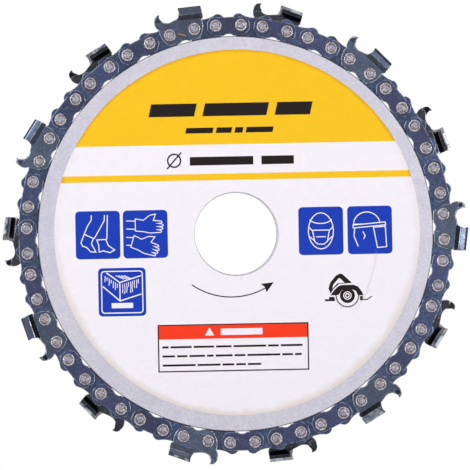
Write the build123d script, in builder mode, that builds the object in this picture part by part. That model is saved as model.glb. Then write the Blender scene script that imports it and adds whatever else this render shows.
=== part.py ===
"""Angle grinder carving disc: a saw chain held round the rim of two riveted steel plates.

The disc stands upright. Its axis is +Y, the labelled front faces -Y and the origin is the
centre of the bore. Every link is drawn lying flat in its own frame: x runs back along the
chain, away from the direction of travel, y points away from the bore and z points out of
the front. The link is then set on the rim by its plane.
"""

from build123d import *
import math
import os

# Chain
link_count = 28  # stations round the rim, and as many drive links: a multiple of four
chain_pitch = 6.35  # half the distance over three rivets, a quarter inch
hole_offset = 0.5  # side links are drilled this much over the pitch, drive links under it
first_station_angle = 53.4  # degrees anticlockwise from +X, seen from the front

# Side links: the tie straps and the bodies of the cutters
side_thickness = 1.05
side_play = 0.05  # between a drive link and each side link
side_depth = 2.85  # from the rivets down to the foot
strap_rise = 2.25  # from the rivets up to the strap's top
strap_reach = 2.375  # past the rivet at each end
strap_foot_reach = 0.85  # the flat of the foot ends this far past the rivet
strap_top_reach = 1.25  # and the flat of the top this far
strap_end_low = 1.3  # the upright end runs from here under the rivet
strap_end_high = 0.9  # to here over it
strap_corner_radius = 0.6
waist_width = 2.6  # the hollow in the foot
waist_height = 0.5

# Drive links
drive_thickness = 1.30
drive_reach = 2.42  # past the rivet at each end
drive_waist = 2.2  # top of the link midway between its rivets
hump_rise = 3.05  # top of the humps over the rivets
hump_reach = 0.35  # the top of each hump is this far past its rivet
hump_shoulder = 1.25  # length of the round shoulder beyond it
hump_shoulder_drop = 0.2
hump_drop = 1.2  # from the top of a hump down to the link's end
tang_root_reach = 0.9  # the tang starts to narrow this far past the rivets
tang_depth = 6.9  # from the rivets down to the tang's tip
tang_tip_width = 2.6
tang_tip_round = 0.4
tang_lean = 0.5  # the tang leans forward
tang_hollow = 0.4  # the front of the tang is hollow by this much

# Chain rivets
hub_radius = 1.35  # in the side links
barrel_radius = 1.85  # in the drive links
rivet_fit = 0.02  # radial clearance in every hole
head_radius = 1.72
head_height = 0.45

# Cutters
cutter_reach = 2.65  # body past the rivet at each end
cutter_foot_reach = 0.65  # the flat of the foot ends this far past the rivet
cutter_cheek = 0.45  # how much narrower the body is at the middle of its rounded cheeks
cutter_neck = 2.0  # height at which the cheeks meet the raker and the heel
heel_step = 0.45
heel_reach = 0.6  # heel past the body
heel_lean = 0.2  # the heel's top leans forward
joggle_foot = 3.3  # where the sheet starts to step outward
joggle_head = 4.65  # where it is upright again
joggle_step = 0.95
crown_height = 6.7  # top of the crown at the cutting corner
crown_slope = 8.2  # degrees, falling back to the heel
crown_thickness = 0.9
crown_overlap = 0.7  # the top plate passes the chain's middle by this much
crown_bend = 0.55  # outer radius of the bend under the crown
cutting_corner = -0.1  # x of the corner that meets the wood first
depth_setting = 0.6  # the raker's top lies this much under the crown
raker_root_width = 2.0
raker_waist_width = 1.1
raker_tip_width = 1.3
raker_tip_drop = 0.16  # the rounded tip falls forward, first by this much
raker_nose_drop = 0.65  # and then by this
raker_belly = 0.68  # the raker's front bulges past the body by this much
gullet_floor = 3.3
gullet_lip = 0.32  # rise of the floor towards the tooth
gullet_width = 2.1  # from the middle of the gullet to the cutting corner
file_radius = 2.0  # the round file that sharpens the tooth
file_angle = 30.0  # degrees
file_drop = 1.2  # from the crown's top down to the file's middle

# Plates, spacer and label
bore_diameter = 22.23
plate_thickness = 1.2
tang_play = 0.07  # between a tang and each wall of the groove
tang_tip_gap = 0.74  # under the tangs
rim_gap = 0.12  # between the side links' feet and the plates' edge
label_thickness = 0.12
label_margin = 3.98  # bare steel round the label
label_bore_gap = 0.35
label_shift = (0.41, 0.36)  # the label is stuck on a little off centre
label_hole_shift = (0.28, -0.05)  # and so is its hole
plate_rivet_count = 6
plate_rivet_circle = 72.0
plate_rivet_radius = 2.0
plate_rivet_head_radius = 3.2
plate_rivet_head_depth = 0.9
plate_edge_bevel = 0.15

# Worked out from the sizes above
side_spacing = chain_pitch + hole_offset
drive_spacing = chain_pitch - hole_offset
half_step = math.pi / link_count
side_half_angle = math.atan2(
    side_spacing * math.sin(half_step),
    drive_spacing + side_spacing * math.cos(half_step),
)
pin_circle_radius = side_spacing / (2 * math.sin(side_half_angle))
side_link_radius = pin_circle_radius * math.cos(side_half_angle)
drive_link_radius = math.sqrt(pin_circle_radius**2 - (drive_spacing / 2) ** 2)
side_inner = drive_thickness / 2 + side_play
side_outer = side_inner + side_thickness
plate_radius = side_link_radius - side_depth - rim_gap
plate_inner = drive_thickness / 2 + tang_play
plate_outer = plate_inner + plate_thickness
spacer_radius = drive_link_radius - tang_depth - tang_tip_gap
bore_radius = bore_diameter / 2
side_hole_radius = hub_radius + rivet_fit
drive_hole_radius = barrel_radius + rivet_fit
side_pins = [(-side_spacing / 2, 0), (side_spacing / 2, 0)]
drive_pins = [(-drive_spacing / 2, 0), (drive_spacing / 2, 0)]


def rim_plane(angle, radius):
    """The plane of a link or rivet at an angle in degrees round the rim, seen from the front."""
    c = math.cos(math.radians(angle))
    s = math.sin(math.radians(angle))
    return Plane(origin=(radius * c, 0, radius * s), x_dir=(s, 0, -c), z_dir=(0, -1, 0))


step = 360 / link_count
stations = [first_station_angle - step * k for k in range(link_count)]
front_cutter_stations = stations[0::4]
rear_cutter_stations = stations[2::4]
plain_stations = stations[1::2]
drive_stations = [angle - step / 2 for angle in stations]
pin_swing = math.degrees(side_half_angle)
pin_stations = [angle + swing for angle in stations for swing in (pin_swing, -pin_swing)]

os.makedirs("parts", exist_ok=True)


def save(piece, name):
    """Label a finished piece and write its file."""
    piece.part.label = name
    export_step(piece.part, f"parts/{name}.step")


# Tie strap: a flat link with cut corners and a hollow in its foot
strap_end = side_spacing / 2 + strap_reach
strap_foot = side_spacing / 2 + strap_foot_reach
strap_top = side_spacing / 2 + strap_top_reach
strap_corner = min(strap_foot, strap_top)
with BuildPart() as tie_strap:
    with BuildSketch(Plane.XY.offset(side_inner)) as strap_outline:
        with BuildLine():
            Polyline(
                (waist_width / 2, -side_depth),
                (strap_foot, -side_depth),
                (strap_end, -strap_end_low),
                (strap_end, strap_end_high),
                (strap_top, strap_rise),
                (-strap_top, strap_rise),
                (-strap_end, strap_end_high),
                (-strap_end, -strap_end_low),
                (-strap_foot, -side_depth),
                (-waist_width / 2, -side_depth),
            )
            ThreePointArc(
                (-waist_width / 2, -side_depth),
                (0, waist_height - side_depth),
                (waist_width / 2, -side_depth),
            )
        make_face()
        corners = strap_outline.vertices()
        fillet(corners.filter_by_position(Axis.X, strap_corner, strap_end), strap_corner_radius)
        corners = strap_outline.vertices()
        fillet(corners.filter_by_position(Axis.X, -strap_end, -strap_corner), strap_corner_radius)
        with Locations(*side_pins):
            Circle(side_hole_radius, mode=Mode.SUBTRACT)
    extrude(amount=side_thickness)

with BuildPart() as rear_tie_strap:
    mirror(tie_strap.part, about=Plane.XY)

strap_groups = {
    "tie_straps_front_plain": (tie_strap, plain_stations),
    "tie_straps_rear_plain": (rear_tie_strap, plain_stations),
    "tie_straps_front_paired": (tie_strap, rear_cutter_stations),
    "tie_straps_rear_paired": (rear_tie_strap, front_cutter_stations),
}
for name, (link, angles) in strap_groups.items():
    with BuildPart() as straps:
        with Locations(*[rim_plane(angle, side_link_radius) for angle in angles]):
            add(link.part)
    save(straps, name)


# Drive link: two humps over the rivets, and a tang that runs in the groove
drive_end = drive_spacing / 2 + drive_reach
drive_end_top = hump_rise - hump_drop
hump_x = drive_spacing / 2 + hump_reach
tang_root = drive_spacing / 2 + tang_root_reach
tang_middle = -tang_depth / 2
tip_back = tang_tip_width / 2 - tang_lean
tip_front = -tang_tip_width / 2 - tang_lean
tip_shoulder = tang_tip_round - tang_depth
with BuildPart() as drive_link:
    with BuildSketch(Plane.XY.offset(-drive_thickness / 2)):
        with BuildLine():
            ThreePointArc((-hump_x, hump_rise), (0, drive_waist), (hump_x, hump_rise))
            ThreePointArc(
                (hump_x, hump_rise),
                (hump_x + hump_shoulder, hump_rise - hump_shoulder_drop),
                (drive_end, drive_end_top),
            )
            ThreePointArc(
                (drive_end, drive_end_top),
                (drive_end, drive_end_top + tang_middle / 2),
                (tang_root, tang_middle),
            )
            Line((tang_root, tang_middle), (tip_back, tip_shoulder))
            ThreePointArc((tip_back, tip_shoulder), (-tang_lean, -tang_depth), (tip_front, tip_shoulder))
            ThreePointArc(
                (tip_front, tip_shoulder),
                ((tip_front - tang_root) / 2 + tang_hollow, (tip_shoulder + tang_middle) / 2),
                (-tang_root, tang_middle),
            )
            ThreePointArc(
                (-tang_root, tang_middle),
                (-drive_end, drive_end_top + tang_middle / 2),
                (-drive_end, drive_end_top),
            )
            ThreePointArc(
                (-drive_end, drive_end_top),
                (-hump_x - hump_shoulder, hump_rise - hump_shoulder_drop),
                (-hump_x, hump_rise),
            )
        make_face()
        with Locations(*drive_pins):
            Circle(drive_hole_radius, mode=Mode.SUBTRACT)
    extrude(amount=drive_thickness)

for number, angle in enumerate(drive_stations, start=1):
    with BuildPart() as placed_link:
        with Locations(rim_plane(angle, drive_link_radius)):
            add(drive_link.part)
    save(placed_link, f"drive_link_{number:02d}")


# Chain rivet: a thick barrel turns in the drive links and thin hubs are headed over the side links
with BuildPart() as chain_rivet:
    with BuildSketch(Plane.XZ):
        with BuildLine():
            Polyline(
                (0, -side_outer - head_height),
                (0.75 * head_radius, -side_outer - head_height),
                (head_radius, -side_outer - 0.4 * head_height),
                (head_radius, -side_outer),
                (hub_radius, -side_outer),
                (hub_radius, -side_inner),
                (barrel_radius, -side_inner),
                (barrel_radius, side_inner),
                (hub_radius, side_inner),
                (hub_radius, side_outer),
                (head_radius, side_outer),
                (head_radius, side_outer + 0.4 * head_height),
                (0.75 * head_radius, side_outer + head_height),
                (0, side_outer + head_height),
                close=True,
            )
        make_face()
    revolve(axis=Axis.Z)

with BuildPart() as chain_rivets:
    with Locations(*[rim_plane(angle, pin_circle_radius) for angle in pin_stations]):
        add(chain_rivet.part)
save(chain_rivets, "chain_rivets")


# Cutter: a side link whose sheet steps outward and folds over the chain as the crown.
# The raker in front of it sets the depth of cut, and a file has cut the gullet between them.
crown_outer = side_outer + joggle_step
crown_inner = side_inner + joggle_step
joggle_angle = math.atan2(joggle_step, joggle_head - joggle_foot)
joggle_shift = side_thickness * math.tan(joggle_angle / 2)
body_end = side_spacing / 2 + cutter_reach
body_foot = side_spacing / 2 + cutter_foot_reach
cheek_x = body_end - cutter_cheek
cheek_y = (cutter_neck - side_depth) / 2 - cutter_cheek
raker_height = crown_height - depth_setting
file_height = crown_height - file_drop
gullet_x = cutting_corner - gullet_width
fall = math.tan(math.radians(crown_slope))
gullet_lift = fall * (cutting_corner - gullet_x)
sheet_foot = -2 * side_depth
sheet_top = 2 * crown_height
sheet_run = 2 * body_end
lean = Vector(math.cos(math.radians(crown_slope)), -math.sin(math.radians(crown_slope)), 0)
foot_y = joggle_foot + gullet_lift
head_y = joggle_head + gullet_lift
crown_y = crown_height + gullet_lift
lip_x = gullet_x + gullet_width / 2
raker_root_x = raker_root_width - body_end

with BuildPart() as cutter:
    # Sections lie across the chain: sketch x is outward from the bore, sketch y is towards the side
    with BuildSketch(Plane.YZ.offset(gullet_x)):
        with BuildLine():
            Polyline(
                (crown_y, crown_outer - crown_bend),
                (crown_y, -crown_overlap),
                (crown_y - crown_thickness, -crown_overlap),
                (crown_y - crown_thickness, crown_inner),
                (head_y + joggle_shift, crown_inner),
                (foot_y + joggle_shift, side_inner),
                (sheet_foot, side_inner),
                (sheet_foot, side_outer),
                (foot_y, side_outer),
                (head_y, crown_outer),
                (crown_y - crown_bend, crown_outer),
            )
            RadiusArc(
                (crown_y - crown_bend, crown_outer),
                (crown_y, crown_outer - crown_bend),
                crown_bend,
            )
        make_face()
    extrude(amount=sheet_run, dir=lean)
    with BuildSketch(Plane.YZ.offset(gullet_x)):
        with BuildLine():
            Polyline(
                (sheet_top, crown_inner),
                (head_y + joggle_shift, crown_inner),
                (foot_y + joggle_shift, side_inner),
                (sheet_foot, side_inner),
                (sheet_foot, side_outer),
                (foot_y, side_outer),
                (head_y, crown_outer),
                (sheet_top, crown_outer),
                close=True,
            )
        make_face()
    extrude(amount=sheet_run, dir=-lean)
    with BuildSketch():
        with BuildLine():
            Line((waist_width / 2, -side_depth), (body_foot, -side_depth))
            ThreePointArc((body_foot, -side_depth), (cheek_x, cheek_y), (body_end, cutter_neck))
            Polyline(
                (body_end, cutter_neck),
                (body_end + heel_step, cutter_neck + heel_step),
                (body_end + heel_reach, joggle_head),
                (body_end + heel_reach - heel_lean, sheet_top),
                (lip_x, sheet_top),
                (lip_x, gullet_floor + 2 * gullet_lip),
                (lip_x - gullet_lip, gullet_floor + gullet_lip),
            )
            ThreePointArc(
                (lip_x - gullet_lip, gullet_floor + gullet_lip),
                ((lip_x - gullet_lip + raker_root_x) / 2, gullet_floor),
                (raker_root_x, gullet_floor + gullet_lip),
            )
            ThreePointArc(
                (raker_root_x, gullet_floor + gullet_lip),
                (raker_waist_width - body_end, (gullet_floor + raker_height) / 2),
                (raker_tip_width - body_end, raker_height),
            )
            ThreePointArc(
                (raker_tip_width - body_end, raker_height),
                (raker_tip_width / 2 - body_end, raker_height - raker_tip_drop),
                (-body_end, raker_height - raker_nose_drop),
            )
            ThreePointArc(
                (-body_end, raker_height - raker_nose_drop),
                (-body_end - raker_belly, (cutter_neck + raker_height - raker_nose_drop) / 2),
                (-body_end, cutter_neck),
            )
            ThreePointArc((-body_end, cutter_neck), (-cheek_x, cheek_y), (-body_foot, -side_depth))
            Line((-body_foot, -side_depth), (-waist_width / 2, -side_depth))
            ThreePointArc(
                (-waist_width / 2, -side_depth),
                (0, waist_height - side_depth),
                (waist_width / 2, -side_depth),
            )
        make_face()
    extrude(amount=2 * crown_outer, both=True, mode=Mode.INTERSECT)
    with Locations(*side_pins):
        Hole(side_hole_radius)
    # The file passes under the cutting corner, so its centre is worked back from there
    file_half_chord = math.sqrt(file_radius**2 - (crown_height - file_height) ** 2)
    file_x = cutting_corner - file_half_chord / math.cos(math.radians(file_angle))
    file_dir = (-math.sin(math.radians(file_angle)), 0, math.cos(math.radians(file_angle)))
    with BuildSketch(Plane(origin=(file_x, file_height, crown_outer), z_dir=file_dir)):
        Circle(file_radius)
    extrude(amount=4 * crown_outer, both=True, mode=Mode.SUBTRACT)

with BuildPart() as rear_cutter:
    mirror(cutter.part, about=Plane.XY)

cutter_sets = {
    "cutter_front": (cutter, front_cutter_stations),
    "cutter_rear": (rear_cutter, rear_cutter_stations),
}
for name, (tooth, angles) in cutter_sets.items():
    for number, angle in enumerate(angles, start=1):
        with BuildPart() as placed_cutter:
            with Locations(rim_plane(angle, side_link_radius)):
                add(tooth.part)
        save(placed_cutter, f"{name}_{number}")


# Plates, spacer, label and the flush rivets, all on the disc's axis
def drill_for_plate_rivets():
    """Cut the straight part of every plate rivet's hole."""
    with PolarLocations(plate_rivet_circle / 2, plate_rivet_count, start_angle=90):
        Circle(plate_rivet_radius + rivet_fit, mode=Mode.SUBTRACT)


with BuildPart() as front_plate:
    with BuildSketch(Plane.XZ.offset(plate_inner)):
        Circle(plate_radius)
        Circle(bore_radius, mode=Mode.SUBTRACT)
        drill_for_plate_rivets()
    extrude(amount=plate_thickness)
    chamfer(front_plate.edges().filter_by(GeomType.CIRCLE).sort_by(SortBy.RADIUS)[-2:], plate_edge_bevel)
    with BuildSketch(Plane.XZ.offset(plate_outer)):
        with PolarLocations(plate_rivet_circle / 2, plate_rivet_count, start_angle=90):
            Circle(plate_rivet_head_radius + rivet_fit)
    extrude(amount=-plate_rivet_head_depth, mode=Mode.SUBTRACT)
save(front_plate, "front_plate")

with BuildPart() as rear_plate:
    mirror(front_plate.part, about=Plane.XZ)
save(rear_plate, "rear_plate")

with BuildPart() as spacer_disc:
    with BuildSketch(Plane.XZ.offset(-plate_inner)):
        Circle(spacer_radius)
        Circle(bore_radius, mode=Mode.SUBTRACT)
        drill_for_plate_rivets()
    extrude(amount=2 * plate_inner)
save(spacer_disc, "spacer_disc")

with BuildPart() as label:
    with BuildSketch(Plane.XZ.offset(plate_outer)):
        with Locations(label_shift):
            Circle(plate_radius - label_margin)
        with Locations(label_hole_shift):
            Circle(bore_radius + label_bore_gap, mode=Mode.SUBTRACT)
    extrude(amount=label_thickness)
save(label, "label")

with BuildPart() as plate_rivets:
    with BuildSketch(Plane.XZ.offset(-plate_outer)):
        with PolarLocations(plate_rivet_circle / 2, plate_rivet_count, start_angle=90):
            Circle(plate_rivet_radius)
    extrude(amount=2 * plate_outer)
    for side in (plate_outer, plate_rivet_head_depth - plate_outer):
        with BuildSketch(Plane.XZ.offset(side)):
            with PolarLocations(plate_rivet_circle / 2, plate_rivet_count, start_angle=90):
                Circle(plate_rivet_head_radius)
        extrude(amount=-plate_rivet_head_depth)
save(plate_rivets, "plate_rivets")
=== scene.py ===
"""Looks of the angle grinder carving disc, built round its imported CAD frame.

Sizes are in millimetres until a mesh is made. A link is drawn lying flat: x runs back along the
chain, y away from the bore and z out of the front. The rim stands in the XZ plane, front to -Y.
"""

import bisect
import math
import random
import bpy
from mathutils import Matrix, Vector, noise
from mathutils.geometry import delaunay_2d_cdt


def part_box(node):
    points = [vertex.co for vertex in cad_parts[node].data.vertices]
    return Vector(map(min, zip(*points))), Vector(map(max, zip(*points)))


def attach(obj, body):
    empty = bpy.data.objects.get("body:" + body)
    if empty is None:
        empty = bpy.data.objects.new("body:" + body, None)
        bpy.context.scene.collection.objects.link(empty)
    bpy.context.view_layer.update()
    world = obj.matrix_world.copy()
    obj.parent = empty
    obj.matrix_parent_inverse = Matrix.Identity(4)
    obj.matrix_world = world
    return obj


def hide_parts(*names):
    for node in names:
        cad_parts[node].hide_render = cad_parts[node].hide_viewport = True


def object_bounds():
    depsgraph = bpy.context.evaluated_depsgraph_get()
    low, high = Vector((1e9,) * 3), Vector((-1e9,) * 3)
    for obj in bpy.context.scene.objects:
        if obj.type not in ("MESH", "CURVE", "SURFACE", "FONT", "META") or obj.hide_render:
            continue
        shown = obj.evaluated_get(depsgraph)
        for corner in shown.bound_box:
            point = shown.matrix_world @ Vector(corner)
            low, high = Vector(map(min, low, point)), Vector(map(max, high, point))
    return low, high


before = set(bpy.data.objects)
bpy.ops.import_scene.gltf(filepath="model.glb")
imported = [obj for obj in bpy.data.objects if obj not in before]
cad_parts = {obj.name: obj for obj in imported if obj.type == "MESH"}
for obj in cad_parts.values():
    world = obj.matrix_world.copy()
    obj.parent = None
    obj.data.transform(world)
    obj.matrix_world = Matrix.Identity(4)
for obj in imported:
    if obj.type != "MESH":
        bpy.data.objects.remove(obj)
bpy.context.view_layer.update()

MM = 0.001


def corners_of(node):
    """Lowest and highest corner of a CAD node in millimetres."""
    low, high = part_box(node)
    return low / MM, high / MM


# Levels and radii that the frame gives
plate_low, plate_high = corners_of("front_plate")
plate_radius = plate_high.x
plate_outer = -plate_low.y
plate_inner = -plate_high.y
strap_low, strap_high = corners_of("tie_straps_front_plain")
side_outer = -strap_low.y
side_inner = -strap_high.y
drive_half = corners_of("drive_link_01")[1].y
head_face = corners_of("chain_rivets")[1].y
label_low, label_high = corners_of("label")
label_face = -label_low.y
label_radius = (label_high.x - label_low.x) / 2
label_centre = Vector(((label_high.x + label_low.x) / 2, (label_high.z + label_low.z) / 2))
label_hole = Vector((0.28, -0.05))
cutter_low, cutter_high = corners_of("cutter_front_1")
crown_outer = -cutter_low.y
crown_overlap = cutter_high.y
floor_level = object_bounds()[0][2]

# The chain, as the part draws it
link_count = 28
chain_pitch = 6.35
hole_offset = 0.5
first_station_angle = 53.4
side_spacing = chain_pitch + hole_offset
drive_spacing = chain_pitch - hole_offset
half_step = math.pi / link_count
side_half_angle = math.atan2(
    side_spacing * math.sin(half_step),
    drive_spacing + side_spacing * math.cos(half_step),
)
pin_circle_radius = side_spacing / (2 * math.sin(side_half_angle))
side_link_radius = pin_circle_radius * math.cos(side_half_angle)
drive_link_radius = math.sqrt(pin_circle_radius**2 - (drive_spacing / 2) ** 2)
step = 360 / link_count
stations = [first_station_angle - step * k for k in range(link_count)]
pin_swing = math.degrees(side_half_angle)

# Side links
side_depth = 2.85
strap_rise = 2.25
strap_reach = 2.375
strap_foot_reach = 0.85
strap_top_reach = 1.25
strap_end_low = 1.3
strap_end_high = 0.9
strap_corner_radius = 0.6
waist_width = 2.6
waist_height = 0.5
side_hole_radius = 1.37

# Drive links
drive_reach = 2.42
drive_waist = 2.2
hump_rise = 3.05
hump_reach = 0.35
hump_shoulder = 1.25
hump_shoulder_drop = 0.2
hump_drop = 1.2
tang_root_reach = 0.9
tang_depth = 6.9
tang_tip_width = 2.6
tang_tip_round = 0.4
tang_lean = 0.5
tang_hollow = 0.4
drive_hole_radius = 1.87

# Cutters
body_end = side_spacing / 2 + 2.65
body_foot = side_spacing / 2 + 0.65
cutter_neck = 2.0
cheek = Vector((body_end - 0.45, (cutter_neck - side_depth) / 2 - 0.45))
heel_step = 0.45
heel_reach = 0.6
joggle_foot = 3.3
joggle_head = 4.65
joggle_step = crown_outer - side_outer
crown_height = 6.7
crown_thickness = 0.9
crown_bend = 0.9
crown_lean = 0.3
heel_x = body_end + heel_reach - 0.03
fall = math.tan(math.radians(8.2))
cutting_corner = -0.1
gullet_x = cutting_corner - 2.1
gullet_floor = 3.3
gullet_lip = 0.32
gullet_lip_x = cutting_corner - 1.62
gullet_lip_rise = 0.21
raker_height = crown_height - 0.6
raker_root_x = 2.0 - body_end
raker_nose = Vector((-body_end, raker_height - 0.65))
raker_belly = 0.68
raker_waist_width = 1.1
raker_tip_width = 1.3
raker_tip_drop = 0.16
file_radius = 2.0
file_slant = math.radians(30)
file_height = crown_height - 1.2
file_reach = math.sqrt(file_radius**2 - (crown_height - file_height) ** 2) / math.cos(file_slant)
file_x = cutting_corner - file_reach

# Rivets and bore
hub_radius = 1.35
barrel_radius = 1.85
head_radius = 1.72
bore_radius = 11.115
label_hole_radius = bore_radius + 0.35
plate_rivet_circle = 36.0
plate_rivet_count = 6
plate_rivet_hole = 3.22
plate_rivet_head = 3.2
plate_rivet_shank = 2.0
plate_rivet_head_depth = 0.9


# The finishes of a sheet: as it was stamped, or filed bare
STAMPED, FILED = range(2)


# Flat outlines

def arc_through(start, middle, end, count=8):
    """Points after start, up to end, on the circle through three points."""
    (ax, ay), (bx, by), (cx, cy) = start, middle, end
    spread = 2 * (ax * (by - cy) + bx * (cy - ay) + cx * (ay - by))
    a2 = ax * ax + ay * ay
    b2 = bx * bx + by * by
    c2 = cx * cx + cy * cy
    x = (a2 * (by - cy) + b2 * (cy - ay) + c2 * (ay - by)) / spread
    y = (a2 * (cx - bx) + b2 * (ax - cx) + c2 * (bx - ax)) / spread
    radius = math.hypot(ax - x, ay - y)
    first = math.atan2(ay - y, ax - x)
    sweep = (math.atan2(cy - y, cx - x) - first) % math.tau
    if (math.atan2(by - y, bx - x) - first) % math.tau > sweep:
        sweep -= math.tau
    angles = [first + sweep * k / count for k in range(1, count + 1)]
    return [Vector((x + radius * math.cos(a), y + radius * math.sin(a))) for a in angles]


def rounded(corners, count=5):
    """The outline through (x, y, radius) corners, each rounded to its radius."""
    points = []
    for index, (x, y, radius) in enumerate(corners):
        corner = Vector((x, y))
        if not radius:
            points.append(corner)
            continue
        back = (Vector(corners[index - 1][:2]) - corner).normalized()
        onward = (Vector(corners[(index + 1) % len(corners)][:2]) - corner).normalized()
        half = back.angle(onward) / 2
        centre = corner + (back + onward).normalized() * radius / math.sin(half)
        first = corner + back * radius / math.tan(half) - centre
        last = corner + onward * radius / math.tan(half) - centre
        turn = first.angle(last)
        for k in range(count + 1):
            part = turn * k / count
            points.append(centre + (first * math.sin(turn - part) + last * math.sin(part)) / math.sin(turn))
    return points


def circle(centre, radius, count, clockwise=False):
    """Points round a circle."""
    way = -1 if clockwise else 1
    angles = [way * math.tau * k / count for k in range(count)]
    return [Vector((centre[0] + radius * math.cos(a), centre[1] + radius * math.sin(a))) for a in angles]


def divided(points, longest):
    """The same path with no run longer than the given length."""
    result = []
    for here, there in zip(points, points[1:]):
        count = max(1, math.ceil((there - here).length / longest))
        result += [here.lerp(there, k / count) for k in range(count)]
    return result + points[-1:]


def inset(points, distances):
    """Move each point of a closed outline into the material, which lies on its left."""
    result = []
    for index, here in enumerate(points):
        before = (here - points[index - 1]).normalized()
        after = (points[(index + 1) % len(points)] - here).normalized()
        left_before = Vector((-before.y, before.x))
        left_after = Vector((-after.y, after.x))
        mitre = (left_before + left_after).normalized()
        result.append(here + mitre * distances[index] / max(0.5, mitre.dot(left_before)))
    return result


def winding(point, outline):
    """How many times a closed outline goes anticlockwise round a point."""
    turns = 0
    px, py = point
    ax, ay = outline[-1]
    for bx, by in outline:
        side = (bx - ax) * (py - ay) - (px - ax) * (by - ay)
        if ay <= py < by and side > 0:
            turns += 1
        elif by <= py < ay and side < 0:
            turns -= 1
        ax, ay = bx, by
    return turns


def joined(outlines):
    """The points of closed outlines one after another, and the edges between them."""
    points = []
    edges = []
    for outline in outlines:
        start = len(points)
        count = len(outline)
        points += outline
        edges += [(start + k, start + (k + 1) % count) for k in range(count)]
    return points, edges


def triangulate(outlines, inner_points):
    """Triangles of the ground that the outlines enclose, as indices into all the points."""
    points, edges = joined(outlines)
    made, _, triangles, origin, _, _ = delaunay_2d_cdt(points + inner_points, edges, [], 0, 1e-7)
    result = []
    for triangle in triangles:
        centre = sum((made[k] for k in triangle), Vector((0, 0))) / 3
        if sum(winding(centre, outline) for outline in outlines) > 0:
            result.append([origin[k][0] for k in triangle])
    return result


# Meshes

class Piece:
    """A mesh in the making: points in millimetres, faces, and each point's brightness, from wear and painted
    highlights, and its darkening, mostly painted shade.
    """

    def __init__(self):
        self.points = []
        self.faces = []
        self.finishes = []
        self.bright = []
        self.darkening = []
        self.tone = []

    def point(self, place, bright=0.0, darkening=0.0):
        self.points.append(Vector(place))
        self.bright.append(bright)
        self.darkening.append(darkening)
        self.tone.append(0.0)
        return len(self.points) - 1

    def face(self, corners, finish=STAMPED):
        self.faces.append(list(corners))
        self.finishes.append(finish)

    def add(self, other, matrix, tone=0.0):
        """Add a placed copy of another piece."""
        start = len(self.points)
        self.points += [matrix @ p for p in other.points]
        self.bright += other.bright
        self.darkening += other.darkening
        self.tone += [tone] * len(other.points)
        flip = matrix.determinant() < 0
        for face, finish in zip(other.faces, other.finishes):
            corners = [start + k for k in face]
            self.face(reversed(corners) if flip else corners, finish)

    def make(self, name, body, materials, nodes, crease=35):
        """Turn it into an object that rides on a body and stands for CAD nodes."""
        mesh = bpy.data.meshes.new(name)
        mesh.from_pydata([p * MM for p in self.points], [], self.faces)
        for key, values in (("bright", self.bright), ("darkening", self.darkening), ("tone", self.tone)):
            mesh.attributes.new(key, "FLOAT", "POINT").data.foreach_set("value", values)
        for material in materials:
            mesh.materials.append(material)
        mesh.polygons.foreach_set("material_index", self.finishes)
        mesh.polygons.foreach_set("use_smooth", [True] * len(self.faces))
        mesh.set_sharp_from_angle(angle=math.radians(crease))
        mesh.update()
        piece = bpy.data.objects.new(name, mesh)
        bpy.context.scene.collection.objects.link(piece)
        weighted = piece.modifiers.new("flat_faces_stay_flat", "WEIGHTED_NORMAL")
        weighted.keep_sharp = True
        weighted.weight = 100
        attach(piece, body)
        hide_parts(*nodes)
        return piece


def stamped_edge(roll, burr, thickness):
    """Rows round a stamped edge from the outer face to the inner: inset, depth and brightness."""
    rows = [(roll + 0.14, 0.0, 0.0), (roll, 0.0, 0.35)]
    for angle in (30, 60, 90):
        lean = math.radians(angle)
        rows.append((roll * (1 - math.sin(lean)), roll * (1 - math.cos(lean)) / thickness, 1.0))
    rows.append((0.0, 1 - burr / thickness, 0.6))
    rows.append((burr, 1.0, 0.6))
    rows.append((burr + 0.14, 1.0, 0.0))
    return rows


def plain_hole():
    """Rows of a punched hole that something fills."""
    return [(0.0, 0.0, 0.0), (0.0, 1.0, 0.0)]


def edge_roundness(outline, filed):
    """How far each point's edge is rolled over: hardly where filed, and less towards a sharp tip."""
    tips = []
    for k, here in enumerate(outline):
        if (outline[k - 1] - here).angle(outline[(k + 1) % len(outline)] - here) < math.radians(70):
            tips.append(here)
    roundness = []
    for k, here in enumerate(outline):
        free = min([1.0] + [0.12 + 1.1 * (here - tip).length for tip in tips])
        roundness.append(0.12 if k in filed else free)
    return roundness


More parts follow.
